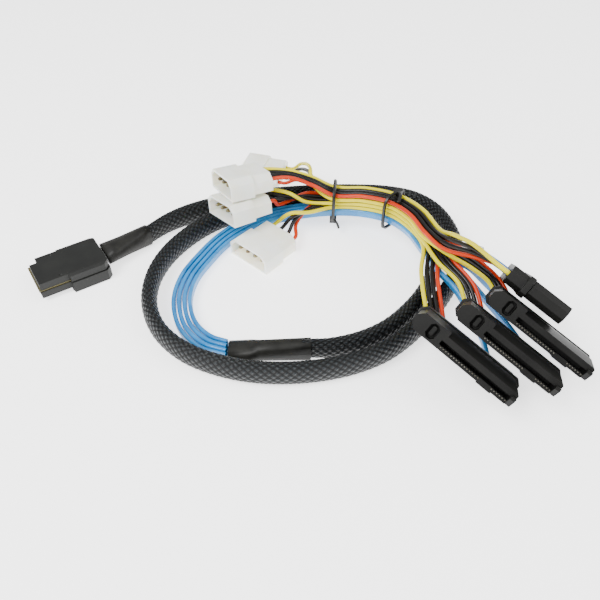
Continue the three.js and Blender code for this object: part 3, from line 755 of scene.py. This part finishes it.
@dataclass
class BraidedSleeve:
    """The flat sleeve on its edge, wound in two turns, with its plaited strands in relief.

    The braid is a little fuller than its solid, and is drawn in to it where the shrinks hold it.

    Attributes:
        width: across the braid, upright.
        thickness: across it the other way.
        held_width: the width in the shrinks.
        held_thickness: the thickness in the shrinks.
        held: share of the length over which the braid fills out from a shrink.
        lift: how much higher the fuller braid's middle is than the ends'.
        height: height of the ends' middle above the table.
        rings: steps along the braid.
        sides: faces round it.
        strands: strands round it, each way.
        relief: height of a strand.
        stretch: a diamond's length against its width.
        route: its middle line from the host plug, in the layout.
    """

    width: float = 0.0124
    thickness: float = 0.0074
    held_width: float = 0.0114
    held_thickness: float = 0.005
    held: float = 0.04
    lift: float = 0.0004
    height: float = 0.006
    rings: int = 1480
    sides: int = 64
    strands: int = 12
    relief: float = 0.00042
    stretch: float = 1.3
    route: tuple[tuple[float, float], ...] = (
        (-0.078, 0.042), (-0.070, 0.0505), (-0.060, 0.058), (-0.046, 0.065), (-0.030, 0.0705),
        (-0.010, 0.0745), (0.010, 0.0765), (0.030, 0.077), (0.048, 0.0755), (0.062, 0.0705),
        (0.072, 0.060), (0.0775, 0.044), (0.078, 0.026), (0.0735, 0.009), (0.065, -0.006),
        (0.056, -0.0185), (0.0465, -0.029), (0.036, -0.0375), (0.021, -0.0445), (0.002, -0.0485),
        (-0.018, -0.0485), (-0.035, -0.0445), (-0.050, -0.037), (-0.062, -0.025), (-0.069, -0.009),
        (-0.070, 0.008), (-0.066, 0.024), (-0.0575, 0.039), (-0.046, 0.0515), (-0.031, 0.061),
        (-0.012, 0.067), (0.008, 0.069), (0.028, 0.0695), (0.044, 0.067), (0.0565, 0.0595),
        (0.0645, 0.046), (0.067, 0.030), (0.0645, 0.013), (0.0575, -0.002), (0.0485, -0.0145),
        (0.038, -0.025), (0.026, -0.032), (0.013, -0.0353), (0.005, -0.0356), (0.0015, -0.0356),
    )

    def build(self) -> SmoothLine:
        """Builds the sleeve.

        Returns:
            Its middle line.
        """
        last = len(self.route) - 1
        points = [
            Vector((x, y, self.height + (self.lift if 0 < index < last else 0.0))) + LAYOUT_SHIFT
            for index, (x, y) in enumerate(self.route)
        ]
        line = SmoothLine(points, self.rings)
        girth = math.pi * 0.5 * (self.width + self.thickness)
        lays = line.length * self.strands / (girth * self.stretch)
        shape = sweep(line, self.sides, lambda along, turn: self._outline(along, turn, lays))
        finish = Braid(strands=self.strands, lays=lays).material()
        sleeve = finish_mesh("sleeve_braid", shape, finish, 180.0)
        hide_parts("braided_sleeve")
        LOG.info("sleeve: %.3f m", line.length)
        return line

    def _outline(self, along: float, turn: float, lays: float) -> tuple[float, float]:
        """The section with the strands' relief.

        Args:
            along: share of the length.
            turn: share of the turn.
            lays: turns of a strand along the whole sleeve.

        Returns:
            The section's two offsets.
        """
        angle = 2.0 * math.pi * turn
        first = (along * lays + turn * self.strands) % 1.0
        second = (along * lays - turn * self.strands) % 1.0
        crown = (math.sin(math.pi * first) * math.sin(math.pi * second)) ** STRAND_ROUNDNESS
        lift = self.relief * (crown - 1.0)
        free = min(1.0, min(along, 1.0 - along) / self.held)
        free = free * free * (3.0 - 2.0 * free)
        width = self.held_width + (self.width - self.held_width) * free
        thickness = self.held_thickness + (self.thickness - self.held_thickness) * free
        return (
            (0.5 * width + lift) * math.cos(angle), (0.5 * thickness + lift) * math.sin(angle),
        )


# Stations of the wire bundle: the middle of the bundle, then its way across.
BUNDLE: tuple[tuple[Point, Point], ...] = (
    ((0.003, 0.0605, 0.0155), (0.05, 1.0, 0.0)),
    ((0.018, 0.059, 0.0155), (0.1, 1.0, 0.0)),
    ((0.0335, 0.055, 0.0175), (0.42, 0.91, 0.0)),
    ((0.047, 0.046, 0.020), (0.7, 0.71, 0.0)),
    ((0.056, 0.0325, 0.022), (0.88, 0.47, 0.0)),
    ((0.0615, 0.017, 0.0225), (0.97, 0.24, 0.0)),
)
LANE_PITCH = 0.00255
ROW_PITCH = 0.0024
ROWS_RISE = 0.0016
DATA_DROP = -0.0053


@dataclass
class Lead:
    """Four wires from one power plug to one drive socket.

    Attributes:
        row: its row in the bundle.
        yellow_side: the side of the bundle that its yellow wire is on.
        join: the station where it joins the bundle.
        before: its points before the bundle.
        before_step: with each, the step from one wire to the next, towards the yellow one.
        after: its points after the bundle.
        after_step: the steps that go with those.
    """

    row: float
    yellow_side: int
    join: int
    before: tuple[Point, ...]
    before_step: tuple[Point, ...]
    after: tuple[Point, ...]
    after_step: tuple[Point, ...]


LEADS = (
    Lead(
        -1.5, -1, 1,
        ((-0.0035, 0.0495, 0.0103), (0.005, 0.0536, 0.0133)),
        ((-0.001, -0.0003, 0.0025), (-0.0003, -0.0024, 0.0005)),
        ((0.0585, -0.002, 0.0185),), ((-0.0025, 0.0002, 0.0005),),
    ),
    Lead(
        -0.5, -1, 0,
        ((-0.013, 0.058, 0.0178), (-0.005, 0.060, 0.0168)),
        ((-0.0009, 0.0012, 0.0022), (-0.0003, -0.0013, 0.0023)),
        ((0.066, 0.003, 0.022), (0.074, -0.009, 0.0185)),
        ((-0.0024, -0.0008, 0.0002), (-0.0025, 0.0002, 0.0006)),
    ),
    Lead(
        0.5, -1, 2,
        ((-0.0015, 0.094, 0.0095), (0.005, 0.081, 0.0165), (0.0093, 0.0683, 0.0185),
         (0.0175, 0.0592, 0.0183)),
        ((0.0012, 0.0032, 0.0015), (0.0002, 0.001, 0.0026), (-0.0016, -0.0018, 0.0013),
         (-0.0009, -0.00235, 0.0002)),
        ((0.070, 0.0065, 0.025), (0.080, 0.002, 0.0205), (0.0888, -0.0034, 0.0148)),
        ((-0.0017, -0.0019, 0.0), (-0.0019, -0.0017, 0.0004), (-0.0024, -0.0011, 0.0011)),
    ),
    Lead(
        1.6, 1, 1,
        ((-0.006, 0.0635, 0.0284), (0.006, 0.0615, 0.0256)),
        ((-0.001, 0.003, -0.0004), (-0.0003, 0.0027, 0.0)),
        ((0.0665, 0.005, 0.0315), (0.074, -0.0075, 0.037)),
        ((0.0012, 0.0006, 0.0022), (-0.0006, -0.0002, 0.0025)),
    ),
)


@dataclass
class PowerWires:
    """The four wires of a lead, each from its hole in the plug to its hole in the hood.

    Attributes:
        number: the lead's number, from 1 to 4.
        diameter: over the insulation.
        pin_pitch: from one wire to the next at the plug.
        hood_pitch: the same at the hood.
        hood_spread: how much wider the wires are spread just before the hood.
        plug_middle: middle of the plug's wire holes, across its width and height.
        plug_length: from the plug's mouth to its back.
        plug_run: straight run behind the plug.
        hood_middle: middle of the hood's wire slot, across its width and thickness.
        hood_rear: the hood's back, in the socket's frame.
        hood_run: straight run behind the hood.
        seat: how far a wire goes into a hole.
        rings: steps along a wire.
    """

    number: int
    diameter: float = 0.002
    pin_pitch: float = 0.00508
    hood_pitch: float = 0.0027
    hood_spread: float = 1.2
    plug_middle: tuple[float, float] = (0.0125, 0.0053)
    plug_length: float = 0.023
    plug_run: float = 0.004
    hood_middle: tuple[float, float] = (0.00705, 0.0048)
    hood_rear: float = -0.0273
    hood_run: float = 0.005
    seat: float = 0.0016
    rings: int = 110

    def build(self) -> None:
        for rank, colour in enumerate(Insulation):
            line = SmoothLine(self.route(rank), self.rings)
            curve = bpy.data.curves.new(f"lead_{self.number}_{colour.value}", "CURVE")
            curve.dimensions = "3D"
            curve.bevel_depth = 0.5 * self.diameter
            curve.bevel_resolution = 3
            curve.use_fill_caps = True
            spline = curve.splines.new("POLY")
            spline.points.add(len(line.points) - 1)
            for spot, place in zip(spline.points, line.points):
                spot.co = (*place, 1.0)
            curve.materials.append(WIRE_FINISH[colour].material())
            wire = ride_and_link(curve.name, curve)
            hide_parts(f"wire_{self.number}_{colour.value}")
        LOG.info("lead %d: four wires", self.number)

    def route(self, rank: int) -> list[Vector]:
        """The points that one wire goes through.

        Args:
            rank: 0 for the yellow wire to 3 for the red one.

        Returns:
            Its points in the row frame.
        """
        lead = LEADS[self.number - 1]
        plug, socket = POWER_POSES[self.number - 1], SOCKET_POSES[self.number - 1]
        shift = 1.5 - rank
        at_plug = plug.to_3x3().col[1] * self.pin_pitch * shift
        at_hood = socket.to_3x3().col[0] * -self.hood_pitch * shift
        rise = Vector((0.0, 0.0, ROWS_RISE + ROW_PITCH * lead.row))
        points = [
            plug @ Vector((self.plug_length - self.seat, *self.plug_middle)) + at_plug,
            plug @ Vector((self.plug_length + self.plug_run, *self.plug_middle)) + at_plug,
        ]
        points += [
            Vector(at) + Vector(step) * shift + LAYOUT_SHIFT
            for at, step in zip(lead.before, lead.before_step)
        ]
        for at, across in BUNDLE[lead.join:]:
            lane = Vector(across).normalized() * LANE_PITCH * lead.yellow_side * shift
            points.append(Vector(at) + lane + rise + LAYOUT_SHIFT)
        points += [
            Vector(at) + Vector(step) * shift + LAYOUT_SHIFT
            for at, step in zip(lead.after, lead.after_step)
        ]
        behind = socket @ Vector((*self.hood_middle, self.hood_rear - self.hood_run))
        points.append(behind + at_hood * self.hood_spread)
        points.append(socket @ Vector((*self.hood_middle, self.hood_rear + self.seat)) + at_hood)
        return points


# The data cables' shared way from the breakout to the bundle: middle and way across.
DATA_WAY: tuple[tuple[Point, Point], ...] = (
    ((-0.0315, -0.035, 0.0046), (0.0, -1.0, 0.0)),
    ((-0.041, -0.0305, 0.0036), (-0.5, -0.87, 0.0)),
    ((-0.050, -0.0205, 0.003), (-0.8, -0.6, 0.0)),
    ((-0.055, -0.005, 0.003), (-1.0, -0.15, 0.0)),
    ((-0.054, 0.011, 0.003), (-0.97, 0.25, 0.0)),
    ((-0.048, 0.026, 0.003), (-0.85, 0.53, 0.0)),
    ((-0.0395, 0.041, 0.003), (-0.75, 0.66, 0.0)),
    ((-0.0275, 0.053, 0.0034), (-0.62, 0.78, 0.0)),
    ((-0.0125, 0.0585, 0.0056), (-0.2, 0.98, 0.0)),
    ((0.003, 0.0603, 0.0076), (0.05, 1.0, 0.0)),
)
# The points between the bundle and each socket.
DATA_TAILS: tuple[tuple[Point, ...], ...] = (
    ((0.064, 0.004, 0.015), (0.070, -0.007, 0.014), (0.075, -0.017, 0.0095), (0.0795, -0.028, 0.005)),
    ((0.068, 0.008, 0.0152), (0.076, 0.001, 0.014), (0.084, -0.008, 0.009), (0.093, -0.022, 0.0046)),
    ((0.070, 0.013, 0.0155), (0.079, 0.008, 0.014), (0.088, 0.001, 0.0085),
     (0.097, -0.007, 0.0036), (0.106, -0.017, 0.0028)),
    ((0.073, 0.0165, 0.0185), (0.082, 0.0095, 0.022)),
)


@dataclass
class DataCable:
    """A flat blue cable of two round conductors in one jacket.

    Attributes:
        number: from 1 to 4.
        width: over both lobes.
        thickness: over one lobe.
        squareness: how fast the outline passes from one lobe to the other.
        waist_depth: how much thinner the jacket is between the lobes, as a share.
        waist_reach: how far the waist spreads, in a lobe's radii.
        hood_middle: the hood's bore, across its width and thickness.
        hood_rear: the hood's back, in the socket's frame.
        hood_run: straight run behind the hood.
        seat: how far the cable goes into its bore.
        rings: steps along the cable.
        sides: faces round it.
    """

    number: int
    width: float = 0.0044
    thickness: float = 0.0021
    squareness: float = 4.0
    waist_depth: float = 0.26
    waist_reach: float = 0.42
    hood_middle: tuple[float, float] = (0.036, 0.0048)
    hood_rear: float = -0.0273
    hood_run: float = 0.004
    seat: float = 0.0016
    rings: int = 260
    sides: int = 24

    def build(self) -> SmoothLine:
        """Returns:
            Its middle line.
        """
        line = SmoothLine(self.route(), self.rings)
        shape = sweep(line, self.sides, self._outline)
        cable = finish_mesh(f"data_{self.number}_jacket", shape, DATA_BLUE.material(), 80.0)
        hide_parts(f"data_cable_{self.number}")
        LOG.info("data cable %d: %.3f m", self.number, line.length)
        return line

    def _outline(self, along: float, turn: float) -> tuple[float, float]:
        """Two round lobes side by side, the longer way first."""
        angle = 2.0 * math.pi * turn
        radius = 0.5 * self.thickness
        reach = 0.5 * self.width - radius
        lobe = reach * math.tanh(self.squareness * math.cos(angle))
        waist = math.exp(-((lobe / (self.waist_reach * radius)) ** 2))
        pinch = 1.0 - self.waist_depth * waist
        return (lobe + radius * math.cos(angle), radius * pinch * math.sin(angle))

    def route(self) -> list[Vector]:
        """The points that the cable goes through, in the row frame."""
        lane = (self.number - 2.5) * LANE_PITCH
        points = [
            Vector(at) + Vector(across).normalized() * lane + LAYOUT_SHIFT for at, across in DATA_WAY
        ]
        drop = Vector((0.0, 0.0, DATA_DROP))
        points += [
            Vector(at) + Vector(across).normalized() * lane + drop + LAYOUT_SHIFT
            for at, across in BUNDLE[1:]
        ]
        points += [Vector(at) + LAYOUT_SHIFT for at in DATA_TAILS[self.number - 1]]
        socket = SOCKET_POSES[self.number - 1]
        points.append(socket @ Vector((*self.hood_middle, self.hood_rear - self.hood_run)))
        points.append(socket @ Vector((*self.hood_middle, self.hood_rear + self.seat)))
        return points


@dataclass
class Dressing:
    """The heat shrinks, the ties and the bare label."""

    def build(self) -> None:
        """Dresses them from their CAD nodes."""
        for node in ("plug_heat_shrink", "breakout_heat_shrink"):
            SoftenedNode(node, SHRINK_BLACK, "heat_shrink", 0.0).build()
        for node in ("cable_tie_1", "cable_tie_2"):
            SoftenedNode(node, TIE_BLACK, "tie_nylon", 0.0).build()
        SoftenedNode("wrap_label", LABEL_WHITE, "label_film", 0.0).build()
        LOG.info("shrinks, ties and label")


@dataclass
class Studio:
    """The pale floor, the soft lights and the camera at the photograph's angle.

    Attributes:
        focal_px: the lens's focal length in pixels of the photograph.
        image_px: the photograph's width.
        distance: from the camera to the layout's middle, in metres.
        elevation: the camera's angle above the table.
        sensor: the sensor's width, in millimetres.
        floor_glow: how brightly the floor glows, as a light table does.
        floor_size: half of the floor's side.
        floor_drop: how far the floor is below the cable.
        surround: strength of the light from all round.
    """

    focal_px: float = 620.0
    image_px: float = 600.0
    distance: float = 0.295
    elevation: float = math.radians(45.0)
    sensor: float = 36.0
    floor_glow: float = 1.8
    floor_size: float = 3.0
    floor_drop: float = 0.0002
    surround: float = 0.85

    def build(self) -> None:
        """Sets up the floor, lights, world and camera."""
        self._floor()
        self._lights()
        data = bpy.data.cameras.new("view_camera")
        data.sensor_width = self.sensor
        data.lens = self.sensor * self.focal_px / self.image_px
        data.clip_start = 0.01
        camera = bpy.data.objects.new("view_camera", data)
        bpy.context.scene.collection.objects.link(camera)
        camera.location = LAYOUT_SHIFT + Vector(
            (0.0, -self.distance * math.cos(self.elevation), self.distance * math.sin(self.elevation)),
        )
        camera.rotation_euler = (0.5 * math.pi - self.elevation, 0.0, 0.0)
        bpy.context.scene.camera = camera

    def _floor(self) -> None:
        """A wide pale sheet under the cable."""
        shape = bmesh.new()
        bmesh.ops.create_grid(shape, x_segments=1, y_segments=1, size=self.floor_size)
        mesh = bpy.data.meshes.new("floor")
        shape.to_mesh(mesh)
        shape.free()
        made = bpy.data.materials.new("floor_white")
        made.use_nodes = True
        shader = made.node_tree.nodes["Principled BSDF"]
        shader.inputs["Base Color"].default_value = (0.95, 0.95, 0.95, 1.0)
        shader.inputs["Roughness"].default_value = 0.9
        shader.inputs["Emission Color"].default_value = (1.0, 1.0, 1.0, 1.0)
        shader.inputs["Emission Strength"].default_value = self.floor_glow
        mesh.materials.append(made)
        floor = bpy.data.objects.new("floor", mesh)
        floor.location.z = -self.floor_drop
        bpy.context.scene.collection.objects.link(floor)

    def _lights(self) -> None:
        """A bright surround with two big soft lights."""
        world = bpy.data.worlds.new("soft_surround")
        world.use_nodes = True
        background = world.node_tree.nodes["Background"]
        background.inputs["Color"].default_value = (1.0, 1.0, 1.0, 1.0)
        background.inputs["Strength"].default_value = self.surround
        bpy.context.scene.world = world
        for name, place, size, power in (
            ("key", (-0.45, -0.35, 0.75), 0.5, 13.0),
            ("fill", (0.6, -0.2, 0.6), 0.6, 5.0),
        ):
            data = bpy.data.lights.new(name, "AREA")
            data.size = size
            data.energy = power
            light = bpy.data.objects.new(name, data)
            light.location = place
            light.rotation_euler = (-Vector(place)).to_track_quat("-Z", "Y").to_euler()
            bpy.context.scene.collection.objects.link(light)


def main() -> None:
    """Builds the cable's parts in order."""
    logging.basicConfig(level=logging.INFO, format="%(name)s %(message)s")
    Studio().build()
    BraidedSleeve().build()
    for number in range(1, 5):
        PowerWires(number).build()
        DataCable(number).build()
    HostPlug().build()
    for number in range(1, 5):
        PowerPlug(number).build()
        DriveSocket(number).build()
    Dressing().build()


if __name__ == "__main__":
    main()
